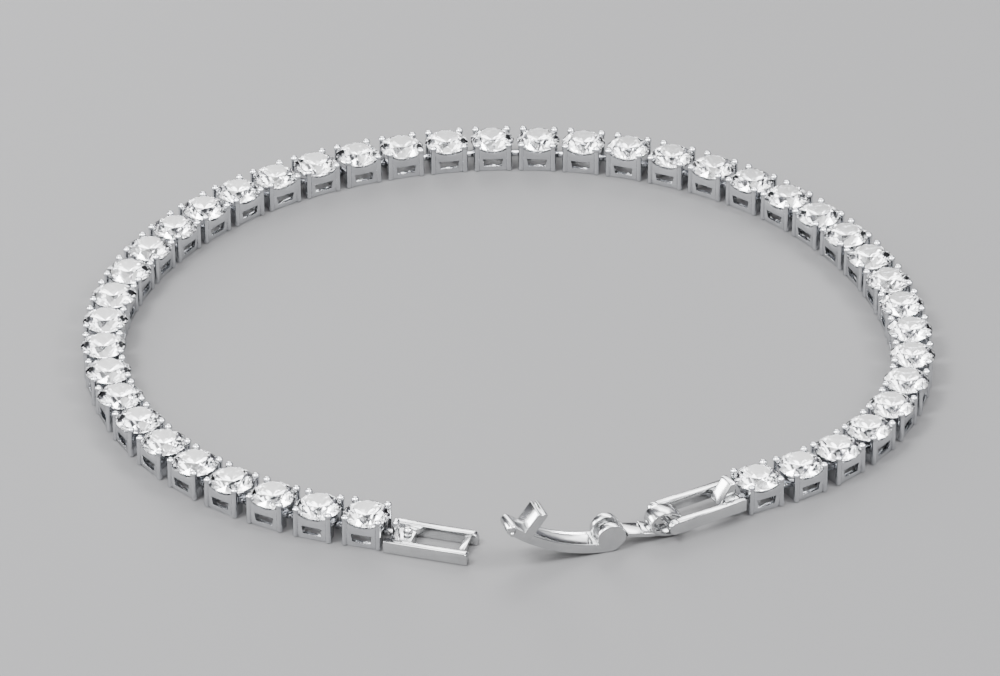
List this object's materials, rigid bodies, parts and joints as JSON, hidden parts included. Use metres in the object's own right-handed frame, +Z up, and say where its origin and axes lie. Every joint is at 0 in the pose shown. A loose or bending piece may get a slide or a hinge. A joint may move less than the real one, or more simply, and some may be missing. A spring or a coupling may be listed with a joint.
{
  "type": "tennis bracelet",
  "caption": "Open tennis bracelet: round stones in square four-prong links, a catch frame at one end, a hinged plate and fold-over lever at the other.",
  "frame": {"origin": "under the middle of the bracelet as it lies open, on the surface it rests on", "axes": "+Z up from the surface, +X from the clasp's free ends across the loop towards the right, +Y away from the clasp"},
  "size_m": [0.0706, 0.0658, 0.005],
  "materials": {
    "stone_links": "polished silver setting with a clear cut stone",
    "silver": "polished rhodium-plated silver"
  },
  "bodies": {
    "chain": {"link_01": "stone_links", "link_02": "stone_links", "link_03": "stone_links", "link_04": "stone_links", "link_05": "stone_links", "link_06": "stone_links", "link_07": "stone_links", "link_08": "stone_links", "link_09": "stone_links", "link_10": "stone_links", "link_11": "stone_links", "link_12": "stone_links", "link_13": "stone_links", "link_14": "stone_links", "link_15": "stone_links", "link_16": "stone_links", "link_17": "stone_links", "link_18": "stone_links", "link_19": "stone_links", "link_20": "stone_links", "link_21": "stone_links", "link_22": "stone_links", "link_23": "stone_links", "link_24": "stone_links", "link_25": "stone_links", "link_26": "stone_links", "link_27": "stone_links", "link_28": "stone_links", "link_29": "stone_links", "link_30": "stone_links", "link_31": "stone_links", "link_32": "stone_links", "link_33": "stone_links", "link_34": "stone_links", "link_35": "stone_links", "link_36": "stone_links", "link_37": "stone_links", "link_38": "stone_links", "link_39": "stone_links", "link_40": "stone_links", "link_41": "stone_links", "link_42": "stone_links", "link_43": "stone_links", "catch_frame": "silver", "clasp_frame": "silver"},
    "plate": {"hinge_plate": "silver"},
    "lever_arm": {"lever": "silver"}
  },
  "joints": [
    {"name": "plate_hinge", "type": "hinge", "parent": "chain", "child": "plate", "pos_m": [0.01252, -0.02737, 0.00135], "axis": [-0.5225, 0.8526, 0], "range_deg": [0, 12]},
    {"name": "lever_hinge", "type": "hinge", "parent": "plate", "child": "lever_arm", "pos_m": [0.00796, -0.02911, 0.0012], "axis": [-0.3173, 0.9483, 0], "range_deg": [0, 136]}
  ]
}
